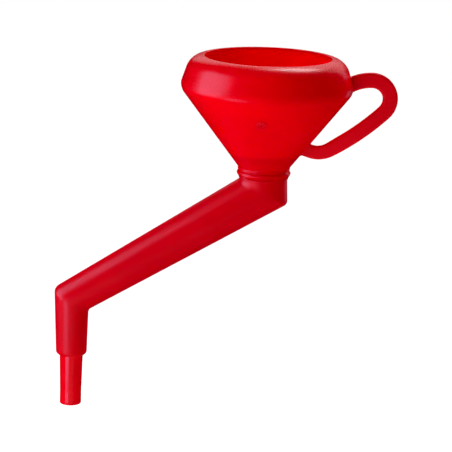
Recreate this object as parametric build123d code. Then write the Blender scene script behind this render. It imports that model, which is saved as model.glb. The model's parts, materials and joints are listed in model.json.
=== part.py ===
from build123d import *

import math
import os

# Long-reach filling funnel: a wide bowl with a loop handle on a cranked spout, with a lift-out strainer.
# Millimetres, +Z up. The nozzle points down, and the bowl stands above and to the +X side of it.
# The origin is on the nozzle's axis, at the middle of the straight stretch at its tip.
# Profiles are drawn as (radius, height) or (x, z) from the foot of the bowl's cone, on the swivel axis,
# and every piece is moved to its place in the frame when it is written.

# Place of the bowl's foot, the point on the swivel axis from which the profiles are drawn
foot_x = 177.5
foot_z = 232.0

# Bowl
mouth_radius = 59.0
lip_height = 104.4
lip_corner_radius = 71.8
crease_radius = 81.46
crease_height = 75.1
lip_fillet = 16.5
crease_fillet = 12.0
bowl_wall = 2.0
cone_slope = math.tan(math.radians(37.47))
cone_foot_radius = 23.9
cone_start = -1.3
throat_radius = 20.9

# Neck of the bowl: a socket with a snap groove inside a rounded bead
neck_radius = 24.4
neck_outline = (
    (24.4, -2.1),
    (24.1, -2.6),
    (24.9, -3.6),
    (25.2, -4.5),
    (25.2, -5.7),
    (24.5, -7.0),
    (23.6, -8.6),
)
socket_radius = 22.7
socket_end = -8.6
socket_roof = -2.4
snap_height = -5.1
groove_radius = 23.5
groove_mouth = 3.8
groove_floor = 1.6

# Spigot of the spout, which turns inside the socket
spigot_radius = 22.4
spigot_bore = 20.4
spigot_top = -2.8
snap_rib_radius = 23.2
snap_rib_foot = 2.4
snap_rib_crest = 0.6
collar_radius = 23.3
collar_top = -8.9
collar_foot = -10.2

# Spout: corners of its sections, inside and outside each elbow, as (x, z)
stub_top = -10.4
upper_elbow_left = (-22.4, -11.5)
upper_elbow_right = (23.5, -34.5)
upper_elbow_half_width = 22.4
lower_elbow_left = (-194.6, -124.4)
lower_elbow_right = (-161.9, -144.8)
lower_elbow_half_width = 16.8
spout_wall = 1.8
leg_end = -189.7
leg_end_radius = 14.6
leg_end_fillet = 4.0
leg_end_wall = 3.0

# Nozzle: tapered, with a straight tip, and a flange that rests on the leg's end wall
nozzle_root_radius = 11.1
nozzle_tip_radius = 10.25
nozzle_root_bore = 9.2
nozzle_tip_bore = 8.3
nozzle_tip_end = -239.3
nozzle_tip_length = 13.6
nozzle_flange_radius = 12.4
nozzle_flange_height = 2.2
nozzle_edge_fillet = 1.0

# Handle: a flat strip along tangent arcs, each (radius, turn in degrees, clockwise)
handle_width = 14.2
handle_thickness = 6.5
handle_edge_fillet = 2.2
handle_start = (74.0, 78.6)
handle_heading = 34.0
handle_arcs = ((42.0, 34.0), (17.5, 135.5), (230.0, 15.2), (23.0, 47.3))
handle_lead = 12.0

# Strainer: a tapered ring that rests on the cone, with spokes, a pull knob and a disc of gauze
strainer_foot = 10.0
strainer_top = 17.0
strainer_wall = 2.6
seat_clearance = 0.35
gauze_thickness = 0.5
spoke_width = 2.6
spoke_height = 2.4
spoke_count = 4
first_spoke_angle = 45.0
hub_radius = 5.0
stem_radius = 2.6
stem_top = 38.0
knob_radius = 6.0
knob_height = 6.0
knob_rim_width = 2.0


def outer_cone(height):
    """Radius of the cone's outer face at a height above the bowl's foot."""
    return cone_foot_radius + height * cone_slope


def inner_cone(height):
    """Radius of the cone's inner face at a height above the bowl's foot."""
    return outer_cone(height) - bowl_wall * math.hypot(1, cone_slope)


def inner_cone_height(radius):
    """Height at which the cone's inner face has this radius."""
    return (radius - inner_cone(0)) / cone_slope


def strainer_radius(height):
    """Outer radius of the strainer's ring, its clearance inside the cone's inner face."""
    return inner_cone(height) - seat_clearance * math.hypot(1, cone_slope)


def revolved(*points):
    """Solid of revolution from a closed outline of (radius, height) points."""
    face = make_face(Polyline(*points, close=True))
    return revolve(Plane.XZ * face, Axis.Z)


def bowl_outline():
    """Outer line of the bowl from inside the neck's wall to the edge of the mouth."""
    return FilletPolyline(
        (outer_cone(cone_start), cone_start),
        (crease_radius, crease_height),
        (lip_corner_radius, lip_height),
        (mouth_radius, lip_height),
        radius=(crease_fillet, lip_fillet),
    )


def funnel_bowl():
    """Thin-walled bowl: cone, rounded shoulder, inturned lip and the neck socket below it."""
    wall = make_face(offset(bowl_outline(), bowl_wall, side=Side.LEFT))
    shell = revolve(Plane.XZ * wall, Axis.Z)
    neck = revolved(
        (throat_radius, socket_roof),
        (throat_radius, inner_cone_height(throat_radius)),
        (neck_radius, inner_cone_height(neck_radius)),
        *neck_outline,
        (socket_radius, socket_end),
        (socket_radius, snap_height - groove_mouth / 2),
        (groove_radius, snap_height - groove_floor / 2),
        (groove_radius, snap_height + groove_floor / 2),
        (socket_radius, snap_height + groove_mouth / 2),
        (socket_radius, socket_roof),
    )
    return shell + neck


def handle_path():
    """Middle line of the handle, from inside the shoulder round to inside the cone."""
    heading = math.radians(handle_heading)
    tangent = (math.cos(heading), math.sin(heading))
    edges = []
    start = handle_start
    for radius, turn in handle_arcs:
        arc = JernArc(start=start, tangent=tangent, radius=radius, arc_size=-turn)
        edges.append(arc)
        start = arc @ 1
        tangent = arc % 1
    edges.append(Line(start, start + tangent * handle_lead))
    return edges


def carry_handle():
    """Flat loop handle, ended where it meets the outside of the bowl."""
    strip = Plane.XZ * trace(handle_path(), handle_width)
    bar = extrude(strip, handle_thickness / 2, both=True)
    flat_faces = bar.faces().filter_by(Axis.Y)
    bar = fillet(flat_faces.edges(), handle_edge_fillet)
    outline = bowl_outline()
    closing = Polyline(outline @ 1, (0, lip_height), (0, cone_start), outline @ 0)
    bowl_face = make_face([*outline.edges(), *closing.edges()])
    bar -= revolve(Plane.XZ * bowl_face, Axis.Z)
    return bar.solids().sort_by(SortBy.VOLUME)[-1]


def spout_section(left, right, half_width, inset=0.0):
    """Elliptical section of the spout, across the XZ plane between two corners."""
    near = Vector(left[0], 0, left[1])
    far = Vector(right[0], 0, right[1])
    across = far - near
    plane = Plane(origin=(near + far) / 2, x_dir=across, z_dir=Vector(0, 1, 0).cross(across))
    return plane * Ellipse(across.length / 2 - inset, half_width - inset)


def spout_loft(inset, end_height):
    """Cranked body of the spout, as straight runs between its four sections."""
    leg_left = (-foot_x - leg_end_radius, end_height)
    leg_right = (-foot_x + leg_end_radius, end_height)
    return loft(
        [
            spout_section((-spigot_radius, stub_top), (spigot_radius, stub_top), spigot_radius, inset),
            spout_section(upper_elbow_left, upper_elbow_right, upper_elbow_half_width, inset),
            spout_section(lower_elbow_left, lower_elbow_right, lower_elbow_half_width, inset),
            spout_section(leg_left, leg_right, leg_end_radius, inset),
        ],
        ruled=True,
    )


def spout_tube():
    """Hollow spout: spigot, upper elbow, long tapered tube, lower elbow and leg."""
    body = spout_loft(0, leg_end)
    body = fillet(body.edges().sort_by(Axis.Z)[0], leg_end_fillet)
    spigot = revolved(
        (spigot_bore, spigot_top),
        (spigot_radius, spigot_top),
        (spigot_radius, snap_height + snap_rib_foot / 2),
        (snap_rib_radius, snap_height + snap_rib_crest / 2),
        (snap_rib_radius, snap_height - snap_rib_crest / 2),
        (spigot_radius, snap_height - snap_rib_foot / 2),
        (spigot_radius, collar_top),
        (collar_radius, collar_top),
        (collar_radius, collar_foot),
        (spigot_radius, stub_top),
        (spigot_bore, stub_top),
    )
    passage = spout_loft(spout_wall, leg_end + leg_end_wall)
    outlet = Pos(-foot_x, 0, leg_end) * Cylinder(
        nozzle_root_radius, leg_end_wall, align=(Align.CENTER, Align.CENTER, Align.MIN)
    )
    return body + spigot - passage - outlet


def outlet_nozzle():
    """Glossy nozzle: a tapered tube with a straight tip and a flange inside the leg."""
    seat = leg_end + leg_end_wall
    flange_top = seat + nozzle_flange_height
    tip_start = nozzle_tip_end + nozzle_tip_length
    nozzle = revolved(
        (nozzle_root_bore, flange_top),
        (nozzle_flange_radius, flange_top),
        (nozzle_flange_radius, seat),
        (nozzle_root_radius, seat),
        (nozzle_root_radius, leg_end),
        (nozzle_tip_radius, tip_start),
        (nozzle_tip_radius, nozzle_tip_end),
        (nozzle_tip_bore, nozzle_tip_end),
        (nozzle_tip_bore, tip_start),
    )
    end_edges = nozzle.edges().filter_by(GeomType.CIRCLE).group_by(Axis.Z)[0]
    nozzle = fillet(end_edges.sort_by(SortBy.RADIUS)[-1], nozzle_edge_fillet)
    return Pos(-foot_x, 0, 0) * nozzle


def strainer_frame():
    """Tapered ring with spokes, hub and pull knob, lifted out by the knob."""
    foot_radius = strainer_radius(strainer_foot)
    top_radius = strainer_radius(strainer_top)
    frame = revolved(
        (foot_radius - strainer_wall, strainer_foot),
        (foot_radius, strainer_foot),
        (top_radius, strainer_top),
        (top_radius - strainer_wall, strainer_top),
    )
    spoke_base = strainer_foot + gauze_thickness
    spoke_length = foot_radius - strainer_wall / 2
    spoke = Pos(0, 0, spoke_base) * Box(
        spoke_length, spoke_width, spoke_height, align=(Align.MIN, Align.CENTER, Align.MIN)
    )
    for index in range(spoke_count):
        frame += Rot(0, 0, first_spoke_angle + index * 360 / spoke_count) * spoke
    hub_top = spoke_base + spoke_height
    knob_rim_foot = stem_top + (knob_height - knob_rim_width) / 2
    knob_rim_top = knob_rim_foot + knob_rim_width
    frame += revolved(
        (0, spoke_base),
        (hub_radius, spoke_base),
        (hub_radius, hub_top),
        (stem_radius, hub_top + spoke_height),
        (stem_radius, stem_top),
        (knob_radius, knob_rim_foot),
        (knob_radius, knob_rim_top),
        (stem_radius, stem_top + knob_height),
        (0, stem_top + knob_height),
    )
    return frame


def strainer_gauze():
    """Disc of woven gauze, fixed under the spokes."""
    ring_bore = strainer_radius(strainer_foot) - strainer_wall
    return Pos(0, 0, strainer_foot) * Cylinder(
        ring_bore, gauze_thickness, align=(Align.CENTER, Align.CENTER, Align.MIN)
    )


pieces = {
    "funnel_bowl": funnel_bowl,
    "carry_handle": carry_handle,
    "spout_tube": spout_tube,
    "outlet_nozzle": outlet_nozzle,
    "strainer_frame": strainer_frame,
    "strainer_gauze": strainer_gauze,
}

os.makedirs("parts", exist_ok=True)
for name, build in pieces.items():
    export_step(Pos(foot_x, 0, foot_z) * build(), f"parts/{name}.step")
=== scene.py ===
import json
import math

import bmesh
import bpy
import numpy as np
from mathutils import Matrix, Vector


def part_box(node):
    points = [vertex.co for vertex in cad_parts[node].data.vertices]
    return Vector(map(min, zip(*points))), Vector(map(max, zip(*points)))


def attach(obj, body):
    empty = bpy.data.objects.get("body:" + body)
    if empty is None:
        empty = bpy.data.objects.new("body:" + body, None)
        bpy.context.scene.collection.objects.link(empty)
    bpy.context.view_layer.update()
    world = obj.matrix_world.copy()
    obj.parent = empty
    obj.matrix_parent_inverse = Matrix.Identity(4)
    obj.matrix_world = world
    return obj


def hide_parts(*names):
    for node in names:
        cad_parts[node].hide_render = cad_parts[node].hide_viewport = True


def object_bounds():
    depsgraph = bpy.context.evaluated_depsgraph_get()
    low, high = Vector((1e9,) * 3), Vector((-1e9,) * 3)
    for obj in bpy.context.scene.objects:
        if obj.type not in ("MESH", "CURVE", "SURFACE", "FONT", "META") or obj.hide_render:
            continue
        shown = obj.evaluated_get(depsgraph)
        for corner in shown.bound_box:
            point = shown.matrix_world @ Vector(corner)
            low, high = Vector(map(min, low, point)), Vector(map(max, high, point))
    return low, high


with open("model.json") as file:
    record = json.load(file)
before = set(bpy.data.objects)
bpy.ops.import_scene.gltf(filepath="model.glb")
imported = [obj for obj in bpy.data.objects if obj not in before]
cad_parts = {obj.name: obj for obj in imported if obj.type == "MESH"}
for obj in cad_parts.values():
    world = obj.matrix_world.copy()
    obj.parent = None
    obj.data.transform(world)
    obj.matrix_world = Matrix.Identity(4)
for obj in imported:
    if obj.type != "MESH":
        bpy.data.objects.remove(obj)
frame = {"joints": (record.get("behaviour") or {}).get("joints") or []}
cad_low, cad_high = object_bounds()

# Profiles are in millimetres from the foot of the bowl's cone, on the swivel axis, as in the CAD model.
# Blender's own lengths are in metres.
MM = 0.001
LIP_HEIGHT = 104.4
swivel = next(joint for joint in frame["joints"] if joint["name"] == "neck_swivel")
FOOT = Vector((swivel["pos_m"][0], 0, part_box("funnel_bowl")[1].z - LIP_HEIGHT * MM))
LEG_X = -FOOT.x / MM

CONE_SLOPE = math.tan(math.radians(37.47))
CONE_FOOT_RADIUS = 23.9
BOWL_WALL = 2.0
NECK_RADIUS = 24.4

# Radius and height of the points where the bowl's straight lines would cross, before they are rounded.
CREASE = (81.46, 75.1)
LIP_CORNER = (71.8, LIP_HEIGHT)
MOUTH_RADIUS = 59.0

# The parting line of a moulding is a ridge, this wide to each side and this high.
SEAM_HALF_WIDTH = 0.35
SEAM_LIFT = 0.12


# ---------------------------------------------------------------- geometry

# Metres within which points are welded.
WELD_DISTANCE = 2e-6

# Millimetres below which a line has no length and a corner stays sharp, and the share of a line that its
# two roundings may take.
NO_LENGTH = 1e-9
SHARP_REACH = 1e-6
ROUNDED_SHARE = 0.98

# A corner's rows take up this much of the count of places, centred on it, and a line's rows start here.
CORNER_SPAN = 0.01
LINE_START = 0.02


def rounded(path, spacing=3.0, steps=8, closed=False):
    """Points along the lines through a path's corners, each corner rounded.

    The path lists (corner, radius). A corner is a point, or one point for each column, and so is its
    radius. Returns the points, an array (row, column, axis), and each row's place, counted in corners."""
    corners = np.array([corner for corner, _ in path], float)
    if corners.ndim == 2:
        corners = corners[:, None, :]
    count, columns = corners.shape[:2]
    radii = np.array([np.broadcast_to(radius, columns) for _, radius in path], float)
    ahead = np.roll(corners, -1, 0) - corners
    length = np.maximum(np.linalg.norm(ahead, axis=2), NO_LENGTH)
    onward = ahead / length[:, :, None]
    inward = np.roll(onward, 1, 0)
    half_turn = np.arccos(np.clip((inward * onward).sum(2), -1, 1)) / 2
    reach = radii * np.tan(half_turn)
    if not closed:
        reach[0] = reach[-1] = 0
    # Where the roundings at a line's two ends don't both fit on it, both shrink. One corner's change
    # frees room at the next, so this is done three times.
    for _ in range(3):
        both_ends = np.maximum(reach + np.roll(reach, -1, 0), NO_LENGTH)
        share = np.minimum(1, ROUNDED_SHARE * length / both_ends)
        if not closed:
            share[-1] = 1
        reach = reach * np.minimum(share, np.roll(share, 1, 0))
    rows, places = [], []
    for index in range(count):
        corner, turn = corners[index], half_turn[index][:, None]
        start = corner - inward[index] * reach[index][:, None]
        end = corner + onward[index] * reach[index][:, None]
        if reach[index].max() < SHARP_REACH:
            rows.append(corner)
            places.append(index)
        else:
            for step in range(steps + 1):
                t = step / steps
                weights = (1 - t) ** 2, 2 * np.cos(turn) * t * (1 - t), t ** 2
                point = weights[0] * start + weights[1] * corner + weights[2] * end
                rows.append(point / sum(weights))
                places.append(index + CORNER_SPAN * (t - 0.5))
        if index == count - 1 and not closed:
            break
        following = (index + 1) % count
        target = corners[following] - inward[following] * reach[following][:, None]
        gaps = max(1, math.ceil(np.linalg.norm(target - end, axis=1).max() / spacing))
        for step in range(1, gaps):
            rows.append(end + (target - end) * step / gaps)
            places.append(index + LINE_START + (1 - 2 * LINE_START) * step / gaps)
    return np.array(rows), np.array(places)


def grid_faces(rows, columns, closed_rows, closed_columns, first=0):
    """Quads of a grid of points numbered row by row."""
    faces = []
    for row in range(rows if closed_rows else rows - 1):
        for column in range(columns if closed_columns else columns - 1):
            below, right = (row + 1) % rows, (column + 1) % columns
            faces.append((
                first + row * columns + column,
                first + row * columns + right,
                first + below * columns + right,
                first + below * columns + column,
            ))
    return faces


def piece(name, shells, material, body, nodes=()):
    """One smooth mesh object made of shells, each (points in mm, closed along rows), riding on a body."""
    points, faces = [], []
    for grid, closed_rows in shells:
        rows, columns = grid.shape[:2]
        faces += grid_faces(rows, columns, closed_rows, True, sum(len(part) for part in points))
        points.append(grid.reshape(-1, 3))
    points = np.concatenate(points) * MM + np.array(FOOT)
    mesh = bpy.data.meshes.new(name)
    mesh.from_pydata(points.tolist(), [], faces)
    mesh.validate()
    obj = bpy.data.objects.new(name, mesh)
    bpy.context.scene.collection.objects.link(obj)
    tidy_mesh(obj)
    mesh.materials.append(material)
    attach(obj, body)
    if nodes:
        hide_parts(*nodes)


def tidy_mesh(obj):
    """Welds the poles, turns the faces outward and shades them smooth."""
    work = bmesh.new()
    work.from_mesh(obj.data)
    bmesh.ops.remove_doubles(work, verts=work.verts, dist=WELD_DISTANCE)
    bmesh.ops.recalc_face_normals(work, faces=work.faces)
    work.to_mesh(obj.data)
    work.free()
    obj.data.polygons.foreach_set("use_smooth", [True] * len(obj.data.polygons))


def columns_with_seams(count):
    """Columns round a moulding as (angle, sideways mm, lift mm), with a parting line at each side."""
    angles = [(2 * math.pi * (index + 0.5) / count, 0, 0) for index in range(count)]
    for seam in (0, math.pi):
        angles += [(seam, -SEAM_HALF_WIDTH, 0), (seam, 0, SEAM_LIFT), (seam, SEAM_HALF_WIDTH, 0)]
    return sorted(angles, key=lambda column: (column[0], column[1]))


def lathe(profile, places=None, outside=(0, 0), count=160, centre=0.0):
    """Grid of a profile, (row, axis) as radius and height, turned about the vertical axis.

    Rows between the two places of outside carry the parting line."""
    if places is None:
        columns = [(2 * math.pi * index / count, 0, 0) for index in range(count)]
    else:
        columns = columns_with_seams(count)
    base, sideways, lift = np.array(columns).T
    radius, height = profile[:, 0][:, None], profile[:, 1][:, None]
    angle = base + sideways / np.maximum(radius, 1)
    if places is not None:
        shown = (places >= outside[0]) & (places <= outside[1])
        radius = radius + lift * shown[:, None]
    grid = np.empty((len(profile), len(columns), 3))
    grid[:, :, 0] = centre + radius * np.cos(angle)
    grid[:, :, 1] = radius * np.sin(angle)
    grid[:, :, 2] = height
    return grid


def crossing(start, start_direction, other, other_direction):
    """Where two lines in the plane cross."""
    matrix = np.array([start_direction, -np.asarray(other_direction)]).T
    along = np.linalg.solve(matrix, np.asarray(other) - np.asarray(start))
    return np.asarray(start) + along[0] * np.asarray(start_direction)


# ---------------------------------------------------------------- materials

def node(tree, kind, **values):
    """A new shader node with these inputs and attributes set."""
    made = tree.nodes.new(kind)
    for key, value in values.items():
        if key in made.inputs:
            made.inputs[key].default_value = value
        else:
            setattr(made, key, value)
    return made


def ramp(tree, source, low, high, low_value, high_value):
    """A smooth step of a node's output."""
    made = tree.nodes.new("ShaderNodeMapRange")
    made.interpolation_type = "SMOOTHSTEP"
    for index, value in enumerate((low, high, low_value, high_value), start=1):
        made.inputs[index].default_value = value
    tree.links.new(source, made.inputs[0])
    return made.outputs[0]


def mixed(tree, factor, first, second):
    """Colour between two colours, each a socket or a value."""
    made = tree.nodes.new("ShaderNodeMix")
    made.data_type = "RGBA"
    for value, name in ((factor, "Factor"), (first, "A"), (second, "B")):
        sockets = [s for s in made.inputs if s.name == name and s.enabled]
        if hasattr(value, "links"):
            tree.links.new(value, sockets[0])
        else:
            sockets[0].default_value = value
    return next(s for s in made.outputs if s.enabled)


# Texture of the plastic. Scales of noise are about features a metre, and depths are in metres.
CLOUD_SCALE = 22
PATCH_SCALE = 70
PEEL_SCALE = 330
GRAIN_SCALE = 1500

# Levels of noise, or of Pointiness for edges, at which each effect begins and is full.
CLOUD_LEVELS = (0.35, 0.65)
PATCH_LEVELS = (0.42, 0.62)
GRAIN_LEVELS = (0.3, 0.7)
SCRATCH_LEVELS = (0.74, 0.80)
EDGE_LEVELS = (0.53, 0.62)

EDGE_PALENESS = 0.4
SCRATCH_PALENESS = 0.10
ROUGHNESS_SPREAD = 0.015
WORN_ROUGHNESS = 0.12
PEEL_DEPTH = 0.00010
GRAIN_DEPTH = 0.00003
SCRATCH_DEPTH = 0.00004
GLOW_COLOUR_REACH = (1.0, 0.05, 0.06)
GLOW_DEPTH = 0.008


def plastic(name, colour, dark, pale, roughness, grain, glow=0.0, shine=0.3):
    """Moulded polyethylene: uneven pigment, fine grain, scratches, rubbed edges.

    Grain scales the relief, glow is the weight of subsurface light, and shine is the specular level."""
    material = bpy.data.materials.new(name)
    material.use_nodes = True
    tree = material.node_tree
    shader = tree.nodes["Principled BSDF"]
    place = tree.nodes.new("ShaderNodeTexCoord").outputs["Object"]

    def noise(scale, detail=3.0, stretch=None, turn=(0, 0, 0)):
        source = place
        if stretch:
            mapping = node(tree, "ShaderNodeMapping", Scale=stretch, Rotation=turn)
            tree.links.new(place, mapping.inputs["Vector"])
            source = mapping.outputs[0]
        made = node(tree, "ShaderNodeTexNoise", Scale=scale, Detail=detail)
        tree.links.new(source, made.inputs["Vector"])
        return made.outputs["Fac"]

    cloud = noise(CLOUD_SCALE, 4)
    patches = noise(PATCH_SCALE, 5)
    fine = noise(GRAIN_SCALE, 2)
    orange_peel = noise(PEEL_SCALE, 3)

    # Noise drawn out along one axis and turned gives straight hairlines, here in two directions.
    scratch_a = noise(GRAIN_SCALE, 1, (1, 1, 0.02), (0.5, 0.1, 0))
    scratch_b = noise(GRAIN_SCALE, 1, (0.025, 1, 1), (0, 0.6, 0.4))
    pigment = mixed(tree, ramp(tree, cloud, *CLOUD_LEVELS, 0, 1), dark, colour)
    lines = tree.nodes.new("ShaderNodeMath")
    lines.operation = "MAXIMUM"
    for index, source in enumerate((scratch_a, scratch_b)):
        tree.links.new(ramp(tree, source, *SCRATCH_LEVELS, 0, 1), lines.inputs[index])
    scratches = lines.outputs[0]
    edge = node(tree, "ShaderNodeNewGeometry").outputs["Pointiness"]
    rubbed = tree.nodes.new("ShaderNodeMath")
    rubbed.operation = "MULTIPLY"
    tree.links.new(ramp(tree, edge, *EDGE_LEVELS, 0, EDGE_PALENESS), rubbed.inputs[0])
    tree.links.new(ramp(tree, patches, *PATCH_LEVELS, 0, 1), rubbed.inputs[1])
    wear = tree.nodes.new("ShaderNodeMath")
    wear.operation = "MAXIMUM"
    scaled = tree.nodes.new("ShaderNodeMath")
    scaled.operation = "MULTIPLY"
    scaled.inputs[1].default_value = SCRATCH_PALENESS
    tree.links.new(scratches, scaled.inputs[0])
    tree.links.new(scaled.outputs[0], wear.inputs[0])
    tree.links.new(rubbed.outputs[0], wear.inputs[1])
    tree.links.new(mixed(tree, wear.outputs[0], pigment, pale), shader.inputs["Base Color"])

    # Roughness follows the fine grain only. Larger patches drew thin lines along their contours.
    smoothest, roughest = roughness - ROUGHNESS_SPREAD, roughness + ROUGHNESS_SPREAD
    rough = ramp(tree, fine, *GRAIN_LEVELS, smoothest, roughest)
    rougher = tree.nodes.new("ShaderNodeMath")
    rougher.operation = "MULTIPLY_ADD"
    rougher.inputs[1].default_value = WORN_ROUGHNESS
    tree.links.new(wear.outputs[0], rougher.inputs[0])
    tree.links.new(rough, rougher.inputs[2])
    tree.links.new(rougher.outputs[0], shader.inputs["Roughness"])

    ripple = node(tree, "ShaderNodeBump", Strength=0.05, Distance=PEEL_DEPTH * grain)
    tree.links.new(orange_peel, ripple.inputs["Height"])
    bump = node(tree, "ShaderNodeBump", Strength=0.25, Distance=GRAIN_DEPTH * grain)
    tree.links.new(fine, bump.inputs["Height"])
    tree.links.new(ripple.outputs[0], bump.inputs["Normal"])
    cut = node(tree, "ShaderNodeBump", Strength=0.3, Distance=SCRATCH_DEPTH, invert=True)
    tree.links.new(scratches, cut.inputs["Height"])
    tree.links.new(bump.outputs[0], cut.inputs["Normal"])
    tree.links.new(cut.outputs[0], shader.inputs["Normal"])
    shader.inputs["IOR"].default_value = 1.5
    shader.inputs["Specular IOR Level"].default_value = shine
    shader.inputs["Subsurface Weight"].default_value = glow
    shader.inputs["Subsurface Radius"].default_value = GLOW_COLOUR_REACH
    shader.inputs["Subsurface Scale"].default_value = GLOW_DEPTH
    return material


BRASS_DULL = (0.38, 0.23, 0.08, 1)
BRASS_BRIGHT = (0.62, 0.42, 0.16, 1)
BRASS_CLOUD_SCALE = 180
BRASS_GRAIN_SCALE = 5000
BRASS_GRAIN_DEPTH = 0.00001
BRASS_DULL_ROUGHNESS = 0.42
BRASS_BRIGHT_ROUGHNESS = 0.26


def brass_wire():
    """Drawn brass, slightly dulled in the weave."""
    material = bpy.data.materials.new("brass_wire")
    material.use_nodes = True
    tree = material.node_tree
    shader = tree.nodes["Principled BSDF"]
    place = tree.nodes.new("ShaderNodeTexCoord").outputs["Object"]
    dull = node(tree, "ShaderNodeTexNoise", Scale=BRASS_CLOUD_SCALE, Detail=3.0)
    tree.links.new(place, dull.inputs["Vector"])
    tone = ramp(tree, dull.outputs["Fac"], *CLOUD_LEVELS, 0, 1)
    metal = mixed(tree, tone, BRASS_DULL, BRASS_BRIGHT)
    tree.links.new(metal, shader.inputs["Base Color"])
    rough = ramp(tree, dull.outputs["Fac"], *GRAIN_LEVELS, BRASS_DULL_ROUGHNESS, BRASS_BRIGHT_ROUGHNESS)
    tree.links.new(rough, shader.inputs["Roughness"])
    marks = node(tree, "ShaderNodeTexNoise", Scale=BRASS_GRAIN_SCALE, Detail=2.0)
    tree.links.new(place, marks.inputs["Vector"])
    bump = node(tree, "ShaderNodeBump", Strength=0.3, Distance=BRASS_GRAIN_DEPTH)
    tree.links.new(marks.outputs["Fac"], bump.inputs["Height"])
    tree.links.new(bump.outputs[0], shader.inputs["Normal"])
    shader.inputs["Metallic"].default_value = 1.0
    return material


RED = (0.86, 0.0008, 0.0060, 1)
RED_DARK = (0.80, 0.0006, 0.0048, 1)
RED_PALE = (0.80, 0.16, 0.17, 1)
body_red = plastic("body_red", RED, RED_DARK, RED_PALE, 0.27, 1.0, glow=0.9)
handle_red = plastic("handle_red", RED, RED_DARK, RED_PALE, 0.47, 1.2, shine=0.15)
spout_red = plastic("spout_red", RED, RED_DARK, RED_PALE, 0.30, 0.8, glow=0.7)
nozzle_red = plastic("nozzle_red", RED, RED_DARK, RED_PALE, 0.16, 0.3, shine=0.4)
strainer_red = plastic("strainer_red", RED, RED_DARK, RED_PALE, 0.42, 1.0)
brass = brass_wire()


# ---------------------------------------------------------------- bowl

def outer_cone(height):
    return CONE_FOOT_RADIUS + height * CONE_SLOPE


def inner_cone(height):
    return outer_cone(height) - BOWL_WALL * math.hypot(1, CONE_SLOPE)


# Places in bowl_profile, counted in its corners: the parting line runs from just above the neck's end to
# the lip's flat, and the outer face from the cone's foot to the mouth's edge.
SEAM_PLACES = (1.5, 9.6)
OUTER_FACE_PLACES = (7, 9.99)
BOWL_COLUMNS = 192
THROAT_RADIUS = 20.9
SOCKET_RADIUS = 22.7
SOCKET_TOP = -2.4
NECK_END = -8.6


def bowl_profile():
    """Closed profile of the bowl's wall and neck, outside first, as radius and height."""
    shoulder = np.array(LIP_CORNER) - np.array(CREASE)
    shoulder /= np.linalg.norm(shoulder)
    inward = np.array((-shoulder[1], shoulder[0])) * BOWL_WALL
    inner_shoulder = np.array(CREASE) + inward
    inner_lip = crossing(inner_shoulder, shoulder, (0, LIP_HEIGHT - BOWL_WALL), (1, 0))
    inner_crease = crossing(inner_shoulder, shoulder, (inner_cone(0), 0), (CONE_SLOPE, 1))
    neck_top = (NECK_RADIUS - CONE_FOOT_RADIUS) / CONE_SLOPE
    throat_top = (THROAT_RADIUS - inner_cone(0)) / CONE_SLOPE
    path = [
        # The neck's end, its bead and the groove above the bead.
        ((22.75, NECK_END), 0.2),
        ((23.6, NECK_END), 0.35),
        ((24.5, -7.1), 0.9),
        ((25.2, -5.9), 0.7),
        ((25.2, -4.2), 0.8),
        ((23.9, -2.8), 0.3),
        # The outer face up to the mouth.
        ((NECK_RADIUS, -1.9), 0.5),
        ((NECK_RADIUS, neck_top), 1.4),
        (CREASE, 12.0),
        (LIP_CORNER, 16.5),
        ((MOUTH_RADIUS, LIP_HEIGHT), 0.5),
        # The inner face down to the throat, and the socket for the spout.
        ((MOUTH_RADIUS, LIP_HEIGHT - BOWL_WALL), 0.9),
        (tuple(inner_lip), 14.5),
        (tuple(inner_crease), 10.0),
        ((THROAT_RADIUS, throat_top), 1.0),
        ((THROAT_RADIUS, SOCKET_TOP), 0.3),
        ((SOCKET_RADIUS, SOCKET_TOP), 0.3),
    ]
    return rounded(path, closed=True)


profile, places = bowl_profile()
piece(
    "funnel_bowl_moulding", [(lathe(profile[:, 0], places, SEAM_PLACES, BOWL_COLUMNS), True)],
    body_red, "bowl", ["funnel_bowl"],
)


# A plain mark of two concentric rings on the cone's front, a little left of its middle.
MARK_ANGLE = math.radians(-94)
MARK_HEIGHT = 51.0
MARK_RADII = (4.2, 2.1)
MARK_LINE_HALF_WIDTH = 0.8
MARK_LINE_HEIGHT = 0.45
MARK_TURN_STEPS = 48
MARK_SECTION_STEPS = 12


def ring_mark(centre_angle, height, radius):
    """Small raised ring moulded on the outside of the cone."""
    foot = outer_cone(height)
    out = np.array((math.cos(centre_angle), math.sin(centre_angle), 0))
    side = np.array((-math.sin(centre_angle), math.cos(centre_angle), 0))
    tilt = math.atan(CONE_SLOPE)
    up = np.array((0, 0, 1)) * math.cos(tilt) + out * math.sin(tilt)
    normal = out * math.cos(tilt) - np.array((0, 0, 1)) * math.sin(tilt)
    turns = np.linspace(0, 2 * math.pi, MARK_TURN_STEPS, endpoint=False)
    section = np.linspace(0, 2 * math.pi, MARK_SECTION_STEPS, endpoint=False)
    grid = np.empty((MARK_TURN_STEPS, MARK_SECTION_STEPS, 3))
    for row, turn in enumerate(turns):
        spoke = side * math.cos(turn) + up * math.sin(turn)
        sag = (radius * math.cos(turn)) ** 2 / (2 * foot / math.cos(tilt))
        for column, angle in enumerate(section):
            grid[row, column] = (
                out * foot + np.array((0, 0, height))
                + spoke * (radius + MARK_LINE_HALF_WIDTH * math.cos(angle))
                + normal * (MARK_LINE_HEIGHT * math.sin(angle) - sag)
            )
    return grid


piece(
    "cone_ring_mark", [(ring_mark(MARK_ANGLE, MARK_HEIGHT, radius), True) for radius in MARK_RADII],
    handle_red, "bowl",
)


# ---------------------------------------------------------------- handle

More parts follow.
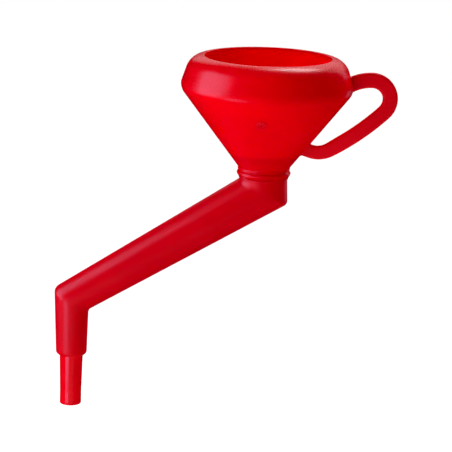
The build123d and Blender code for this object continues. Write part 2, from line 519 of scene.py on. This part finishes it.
# The handle's middle line starts inside the bowl's outline, at this x and height. It turns clockwise in
# arcs, each a radius and degrees of turn, and a straight lead takes it back into the cone.
HANDLE_START = (74.0, 78.6)
HANDLE_HEADING = 34.0
HANDLE_ARCS = ((42.0, 34.0), (17.5, 135.5), (230.0, 15.2), (23.0, 47.3))
HANDLE_LEAD = 12.0
HANDLE_HALF_WIDTH = 7.1
HANDLE_HALF_THICKNESS = 3.25
HANDLE_EDGE = 2.2

# Towards the line's end the side that faces into the loop comes in by this much. The change starts this
# far before the end and takes this length.
HANDLE_NARROWING = 1.5
NARROWING_START = 46.0
NARROWING_RUN = 34.0

# Radius of the fillet on the bowl at each end, and how far along the line each of its rings lies from the
# bowl.
UPPER_FILLET = 0.8
LOWER_FILLET = 2.4
FILLET_STANDOFFS = (-0.4, 0.0, 0.12, 0.35, 0.7, 1.15, 1.7, 2.3)
HANDLE_RINGS = 120
LINE_STEP = 0.5
ENTRY_SAMPLES = 1600


def handle_line():
    """Samples of the handle's middle line: places, headings and lengths along it."""
    point, heading = np.array(HANDLE_START), math.radians(HANDLE_HEADING)
    points, headings, lengths = [point], [heading], [0.0]
    for radius, turn in HANDLE_ARCS:
        centre = point + radius * np.array((math.sin(heading), -math.cos(heading)))
        steps = max(4, int(radius * math.radians(turn) / LINE_STEP))
        for step in range(1, steps + 1):
            now = heading - math.radians(turn) * step / steps
            points.append(centre - radius * np.array((math.sin(now), -math.cos(now))))
            headings.append(now)
            lengths.append(lengths[-1] + radius * math.radians(turn) / steps)
        point, heading = points[-1], headings[-1]
    points.append(point + HANDLE_LEAD * np.array((math.cos(heading), math.sin(heading))))
    headings.append(heading)
    lengths.append(lengths[-1] + HANDLE_LEAD)
    return np.array(points), np.array(headings), np.array(lengths)


line_points, line_headings, line_lengths = handle_line()
on_outer_face = (places >= OUTER_FACE_PLACES[0]) & (places <= OUTER_FACE_PLACES[1])
outer_face = profile[:, 0][on_outer_face]


def handle_point(along, across, sideways):
    """Point of the handle at a length along its line, an offset in its plane and one across it."""
    x = np.interp(along, line_lengths, line_points[:, 0])
    z = np.interp(along, line_lengths, line_points[:, 1])
    heading = np.interp(along, line_lengths, line_headings)
    late = np.clip((along - line_lengths[-1] + NARROWING_START) / NARROWING_RUN, 0, 1)
    narrowing = HANDLE_NARROWING * late ** 2 * (3 - 2 * late)
    across = across + np.where(across < 0, 1, 0) * narrowing * (-across / HANDLE_HALF_WIDTH)
    return np.stack([x - np.sin(heading) * across, sideways + 0 * x, z + np.cos(heading) * across], -1)


def depth_in_bowl(points):
    """How far points lie inside the bowl's outer face, measured along the radius."""
    radius = np.interp(points[..., 2], outer_face[:, 1], outer_face[:, 0])
    return radius - np.hypot(points[..., 0], points[..., 1])


def entry(across, sideways, at_end):
    """Length along the line at which each of these offsets meets the bowl."""
    scan = np.linspace(0, line_lengths[-1], ENTRY_SAMPLES)
    depth = depth_in_bowl(handle_point(scan[:, None], across[None, :], sideways[None, :]))
    middle = len(scan) // 2
    if at_end:
        return scan[middle + np.argmax(depth[middle:] > 0, axis=0)]
    return scan[middle - 1 - np.argmax(depth[:middle][::-1] > 0, axis=0)]


def handle_grid():
    """Rounded strip that ends in small fillets on the bowl."""
    half = np.array((HANDLE_HALF_WIDTH, HANDLE_HALF_THICKNESS))
    signs = ((-1, -1), (1, -1), (1, 1), (-1, 1))
    box = [(half * sign, HANDLE_EDGE) for sign in signs]
    outline = rounded(box, spacing=1.2, steps=7, closed=True)[0][:, 0]
    ahead = np.roll(outline, -1, 0) - np.roll(outline, 1, 0)
    normal = np.stack([ahead[:, 1], -ahead[:, 0]], 1) / np.linalg.norm(ahead, axis=1)[:, None]

    def end_rings(fillet, at_end):
        rings = []
        for standoff in FILLET_STANDOFFS:
            reach = np.clip(1 - max(standoff, 0) / fillet, 0, 1)
            swell = fillet * (1 - math.sqrt(1 - reach ** 2))
            spread = outline + normal * swell
            meet = entry(spread[:, 0], spread[:, 1], at_end)
            along = meet - standoff if at_end else meet + standoff
            rings.append((along, spread))
        return rings

    first = end_rings(UPPER_FILLET, False)
    last = end_rings(LOWER_FILLET, True)[::-1]
    start, end = first[-1][0], last[0][0]
    middle = []
    for share in np.linspace(0, 1, HANDLE_RINGS)[1:-1]:
        middle.append((start + (end - start) * share, outline))
    rings = first + middle + last
    return np.array([handle_point(along, spread[:, 0], spread[:, 1]) for along, spread in rings])


piece(
    "carry_handle_moulding", [(handle_grid(), False)],
    handle_red, "bowl", ["carry_handle"],
)


# ---------------------------------------------------------------- spout

SPOUT_COLUMNS = 128
SPOUT_WALL = 1.8
LEG_RADIUS = 14.6
LEG_BORE_RADIUS = 11.2
LEG_END = -189.7
LEG_END_WALL = 3.0

# An elbow is an elliptical ring: its left and right points in the plane of symmetry, and its half width.
UPPER_ELBOW = ((-22.4, -11.5), (23.5, -34.5), 22.4)
LOWER_ELBOW = ((-194.6, -124.4), (-161.9, -144.8), 16.8)


def spout_ring(columns, left, right, half_width, inset=0.0, seam=True):
    """Elliptical ring of the spout between two points of its plane of symmetry."""
    base, sideways, lift = np.array(columns).T
    left, right = np.array(left), np.array(right)
    middle, half = (left + right) / 2, (right - left) / 2
    length = np.linalg.norm(half)
    angle = base + sideways / length
    reach = (length - inset + (lift if seam else 0)) / length
    return np.stack([
        middle[0] + half[0] * reach * np.cos(angle),
        (half_width - inset) * np.sin(angle),
        middle[1] + half[1] * reach * np.cos(angle),
    ], -1)


def spout_grid():
    """Hollow cranked spout from its spigot to the end of its leg, with rounded elbows."""
    columns = columns_with_seams(SPOUT_COLUMNS)
    angle = np.array(columns)[:, 0]
    right_share = (1 + np.cos(angle)) / 2

    def circle(radius, height, centre=0.0, seam=False):
        return spout_ring(columns, (centre - radius, height), (centre + radius, height), radius, seam=seam)

    inner_end = LEG_END + LEG_END_WALL
    path = [
        # The spigot inside the bowl's socket, and the collar under it.
        (circle(22.35, -2.8), 0.4),
        (circle(22.35, -8.9), 0.15),
        (circle(23.3, -8.9), 0.35),
        (circle(23.3, -10.2), 0.4),
        # The outer face down to the leg's end and the hole there for the nozzle.
        (circle(22.4, -10.5, seam=True), 0.25),
        (spout_ring(columns, *UPPER_ELBOW), 6.0 - 1.0 * right_share),
        (spout_ring(columns, *LOWER_ELBOW), 5.5 + 3.0 * (1 - right_share)),
        (circle(LEG_RADIUS, LEG_END, LEG_X, seam=True), 4.0),
        (circle(LEG_BORE_RADIUS, LEG_END, LEG_X), 0.25),
        (circle(LEG_BORE_RADIUS, inner_end, LEG_X), 0.2),
        # The inner face back up to the spigot.
        (circle(LEG_RADIUS - SPOUT_WALL, inner_end, LEG_X), 0.6),
        (spout_ring(columns, *LOWER_ELBOW, inset=SPOUT_WALL, seam=False), 7.0),
        (spout_ring(columns, *UPPER_ELBOW, inset=SPOUT_WALL, seam=False), 4.0),
        (circle(20.4, -10.4), 0.5),
        (circle(20.4, -2.8), 0.3),
    ]
    return rounded(path, spacing=3.5, steps=10, closed=True)[0]


piece(
    "spout_tube_moulding", [(spout_grid(), True)],
    spout_red, "spout", ["spout_tube"],
)


NOZZLE_COLUMNS = 96
NOZZLE_NECK_RADIUS = 11.1
NOZZLE_TIP_RADIUS = 10.25
NOZZLE_BORE_RADIUS = 8.3
NOZZLE_STRAIGHT_TOP = -225.7
NOZZLE_END = -239.3
FLANGE_RADIUS = 12.4
FLANGE_HEIGHT = 2.2


def nozzle_grid():
    """Tapered glossy nozzle with a straight tip, a rolled end and its flange inside the leg."""
    seat = LEG_END + LEG_END_WALL
    path = [
        ((9.2, seat + FLANGE_HEIGHT), 0.3),
        ((FLANGE_RADIUS, seat + FLANGE_HEIGHT), 0.3),
        ((FLANGE_RADIUS, seat), 0.2),
        ((NOZZLE_NECK_RADIUS, seat), 0.2),
        ((NOZZLE_NECK_RADIUS, LEG_END), 1.0),
        ((NOZZLE_TIP_RADIUS, NOZZLE_STRAIGHT_TOP), 12.0),
        ((NOZZLE_TIP_RADIUS, NOZZLE_END), 1.2),
        ((NOZZLE_BORE_RADIUS, NOZZLE_END), 0.5),
        ((NOZZLE_BORE_RADIUS, NOZZLE_STRAIGHT_TOP), 12.0),
    ]
    outline = rounded(path, spacing=2.5, closed=True)[0]
    return lathe(outline[:, 0], count=NOZZLE_COLUMNS, centre=LEG_X)


piece(
    "outlet_nozzle_moulding", [(nozzle_grid(), True)],
    nozzle_red, "spout", ["outlet_nozzle"],
)


# ---------------------------------------------------------------- strainer

STRAINER_FOOT = 10.0
STRAINER_TOP = 17.0
STRAINER_WALL = 2.6
STRAINER_GAP = 0.35
SEAT = STRAINER_GAP * math.hypot(1, CONE_SLOPE)
RING_FOOT = inner_cone(STRAINER_FOOT) - SEAT
RING_TOP = inner_cone(STRAINER_TOP) - SEAT
SPOKE_HALF_WIDTH = 1.3
SPOKE_FOOT = 10.5
SPOKE_TOP = 12.9
SPOKES = 4
SPOKE_RINGS = 16
STEM_RADIUS = 2.6
KNOB_RADIUS = 6
KNOB_TOP = 44


def strainer_shells():
    """Ring, four spokes, and the hub with its stem and pull knob."""
    ring = [
        ((RING_FOOT - STRAINER_WALL, STRAINER_FOOT), 0.4),
        ((RING_FOOT, STRAINER_FOOT), 0.4),
        ((RING_TOP, STRAINER_TOP), 0.7),
        ((RING_TOP - STRAINER_WALL, STRAINER_TOP), 0.7),
    ]
    ring_line = rounded(ring, spacing=1.5, steps=6, closed=True)[0]
    hub = [
        ((0, SPOKE_FOOT), 0),
        ((5, SPOKE_FOOT), 0.4),
        ((5, SPOKE_TOP), 0.8),
        ((STEM_RADIUS, 15.3), 2.5),
        ((STEM_RADIUS, 38), 1.6),
        ((KNOB_RADIUS, 40), 0.9),
        ((KNOB_RADIUS, 42), 1.4),
        ((STEM_RADIUS, KNOB_TOP), 3.0),
        ((0, KNOB_TOP), 0),
    ]
    hub_line = rounded(hub, spacing=1.5, steps=6)[0]
    shells = [(lathe(ring_line[:, 0], count=144), True), (lathe(hub_line[:, 0], count=48), False)]
    spoke = [
        ((-SPOKE_HALF_WIDTH, SPOKE_FOOT), 0.3),
        ((SPOKE_HALF_WIDTH, SPOKE_FOOT), 0.3),
        ((SPOKE_HALF_WIDTH, SPOKE_TOP), 0.7),
        ((-SPOKE_HALF_WIDTH, SPOKE_TOP), 0.7),
    ]
    section = rounded(spoke, spacing=1.2, steps=5, closed=True)[0][:, 0]
    for index in range(SPOKES):
        turn = math.radians(45 + index * 360 / SPOKES)
        out = np.array((math.cos(turn), math.sin(turn), 0))
        side = np.array((-math.sin(turn), math.cos(turn), 0))
        reaches = np.linspace(1.5, RING_FOOT - STRAINER_WALL + 1.2, SPOKE_RINGS)
        shells.append((np.array([
            [out * reach + side * across + np.array((0, 0, height)) for across, height in section]
            for reach in reaches
        ]), False))
    return shells


piece(
    "strainer_frame_moulding", strainer_shells(),
    strainer_red, "strainer", ["strainer_frame"],
)


MESH_PITCH = 1.5
WIRE_RADIUS = 0.11
WIRE_WAVE = 0.125
WIRE_SIDES = 6
GAUZE_LEVEL = STRAINER_FOOT + 0.25
GAUZE_OVERLAP = 0.1


def gauze_shells():
    """Plain weave of round wire, cut to the ring's bore."""
    radius = RING_FOOT - STRAINER_WALL
    sides = np.linspace(0, 2 * math.pi, WIRE_SIDES, endpoint=False)
    shells = []
    count = int(radius / MESH_PITCH)
    for lengthwise in (True, False):
        for index in range(-count, count + 1):
            offset = index * MESH_PITCH
            reach = math.sqrt(radius ** 2 - offset ** 2) + GAUZE_OVERLAP
            along = np.arange(-reach, reach, MESH_PITCH / 5)
            phase = 0 if lengthwise else math.pi
            height = WIRE_WAVE * np.cos(math.pi * along / MESH_PITCH + math.pi * index + phase)
            grid = np.empty((len(along), WIRE_SIDES, 3))
            for column, angle in enumerate(sides):
                grid[:, column, 0 if lengthwise else 1] = along
                grid[:, column, 1 if lengthwise else 0] = offset + WIRE_RADIUS * math.cos(angle)
                grid[:, column, 2] = GAUZE_LEVEL + height + WIRE_RADIUS * math.sin(angle)
            shells.append((grid, False))
    return shells


piece(
    "strainer_gauze_weave", gauze_shells(),
    brass, "strainer", ["strainer_gauze"],
)


# ---------------------------------------------------------------- studio

# Lengths here are in metres. The floor and the world show white to the camera and light the object less.
WHITE = (1, 1, 1, 1)
SEEN_WHITE = 1.0
FLOOR_GREY = (0.3, 0.3, 0.3, 1)
FLOOR_HALF = 4
FLOOR_DROP = 0.30
FLOOR_LIGHT = 0.30
WORLD_LIGHT = 0.16
centre = (cad_low + cad_high) / 2


def stage_light(tree, seen, diffuse):
    """Strength that is one value where the camera looks and another for the light given off."""
    path = tree.nodes.new("ShaderNodeLightPath")
    soft = tree.nodes.new("ShaderNodeMath")
    soft.operation = "MULTIPLY"
    soft.inputs[1].default_value = diffuse
    tree.links.new(path.outputs["Is Diffuse Ray"], soft.inputs[0])
    both = tree.nodes.new("ShaderNodeMath")
    both.operation = "MULTIPLY_ADD"
    both.inputs[1].default_value = seen
    tree.links.new(path.outputs["Is Camera Ray"], both.inputs[0])
    tree.links.new(soft.outputs[0], both.inputs[2])
    return both.outputs[0]


floor_mesh = bpy.data.meshes.new("floor")
floor_corners = [(x * FLOOR_HALF, y * FLOOR_HALF, 0) for x, y in ((-1, -1), (1, -1), (1, 1), (-1, 1))]
floor_mesh.from_pydata(floor_corners, [], [(0, 1, 2, 3)])
floor = bpy.data.objects.new("floor", floor_mesh)
floor.location = (centre.x, 0, cad_low.z - FLOOR_DROP)
bpy.context.scene.collection.objects.link(floor)
floor_material = bpy.data.materials.new("pale_floor")
floor_material.use_nodes = True
floor_tree = floor_material.node_tree
floor_shader = floor_tree.nodes["Principled BSDF"]
floor_shader.inputs["Base Color"].default_value = FLOOR_GREY
floor_shader.inputs["Roughness"].default_value = 1.0
floor_shader.inputs["Specular IOR Level"].default_value = 0.0
floor_shader.inputs["Emission Color"].default_value = WHITE
floor_light = stage_light(floor_tree, SEEN_WHITE, FLOOR_LIGHT)
floor_tree.links.new(floor_light, floor_shader.inputs["Emission Strength"])
floor_mesh.materials.append(floor_material)

# It is kept out of reflections, where a pale floor would lie over the red.
floor.visible_glossy = False

world = bpy.data.worlds.new("studio")
world.use_nodes = True
background = world.node_tree.nodes["Background"]
background.inputs["Color"].default_value = WHITE
world_light = stage_light(world.node_tree, SEEN_WHITE, WORLD_LIGHT)
world.node_tree.links.new(world_light, background.inputs["Strength"])
bpy.context.scene.world = world


# Colours of light.
NEUTRAL = (1, 1, 1)
BLUE = (0.45, 0.62, 1.0)
DEEP_BLUE = (0.40, 0.55, 1.0)
PALE_BLUE = (0.6, 0.7, 1.0)
ROSE = (1, 0.97, 1)

# Name, azimuth and elevation in degrees, distance, width, height, power in watts, colour, and whether the
# lamp shows in reflections. Azimuth 0 is the camera's side, 90 the right.
LAMPS = (
    ("key", -81, 14, 1.2, 0.98, 1.25, 14.5, BLUE, True),
    ("front", -36, -4, 2.4, 2.6, 1.6, 20, NEUTRAL, False),
    ("low_front", -10, -30, 0.75, 0.9, 0.4, 2.0, NEUTRAL, False),
    ("top_left", -60, 50, 1.4, 0.6, 0.6, 2.4, NEUTRAL, False),
    ("right_fill", 95, -14, 1.6, 0.8, 0.8, 8, NEUTRAL, False),
    ("back_glow", 150, 20, 1.2, 0.6, 0.6, 9.5, NEUTRAL, False),
    ("low_left", -44, -20, 1.0, 0.5, 0.25, 1.5, DEEP_BLUE, True),
    ("back_card", 167, 34, 2.0, 2.6, 1.3, 8, ROSE, True),
    ("back_top", 150, 60, 1.4, 0.6, 0.5, 8, NEUTRAL, True),
    ("right_edge", 135, 2, 1.5, 0.2, 1.0, 0.6, PALE_BLUE, True),
)


def soft_light(name, azimuth, elevation, distance, width, height, power, colour, glossy):
    """Rectangular lamp aimed at the object's middle."""
    turn, rise = math.radians(azimuth), math.radians(elevation)
    away = Vector((math.sin(turn) * math.cos(rise), -math.cos(turn) * math.cos(rise), math.sin(rise)))
    data = bpy.data.lights.new(name, "AREA")
    data.shape = "RECTANGLE"
    data.size, data.size_y = width, height
    data.energy = power
    data.color = colour
    lamp = bpy.data.objects.new(name, data)
    lamp.location = centre + away * distance
    lamp.visible_camera = False
    lamp.visible_glossy = glossy
    lamp.rotation_mode = "QUATERNION"
    lamp.rotation_quaternion = (-away).to_track_quat("-Z", "Y")
    bpy.context.scene.collection.objects.link(lamp)


for lamp_values in LAMPS:
    soft_light(*lamp_values)


# The camera stands in front, a little above, and is rolled slightly. It aims just off the object's middle.
ELEVATION = math.radians(13.53)
ROLL = math.radians(2.10)
DISTANCE = 1.8906
AIM_OFFSET = (0.002805, 0, 0.00913)
SENSOR_MM = 36
LENS_MM = 159.292
CLIP_END = 50
target = centre + Vector(AIM_OFFSET)
back = Vector((0, -math.cos(ELEVATION), math.sin(ELEVATION)))
right, up = Vector((1, 0, 0)), Vector((0, math.sin(ELEVATION), math.cos(ELEVATION)))
rolled_right = right * math.cos(ROLL) + up * math.sin(ROLL)
rolled_up = up * math.cos(ROLL) - right * math.sin(ROLL)
camera_data = bpy.data.cameras.new("camera")
camera_data.lens = LENS_MM
camera_data.sensor_width = SENSOR_MM
camera_data.clip_end = CLIP_END
camera = bpy.data.objects.new("camera", camera_data)
camera.matrix_world = Matrix.Translation(target + back * DISTANCE) @ Matrix(
    (rolled_right, rolled_up, back)
).transposed().to_4x4()
bpy.context.scene.collection.objects.link(camera)
bpy.context.scene.camera = camera

# The black level takes off the last few levels of green and blue, as the photo's plain red is very deep.
BLACK_LEVEL = (0.004, 0.005, 0.003)
view = bpy.context.scene.view_settings
view.view_transform = "Standard"
view.look = "None"
view.use_curve_mapping = True
view.curve_mapping.black_level = BLACK_LEVEL
view.curve_mapping.update()
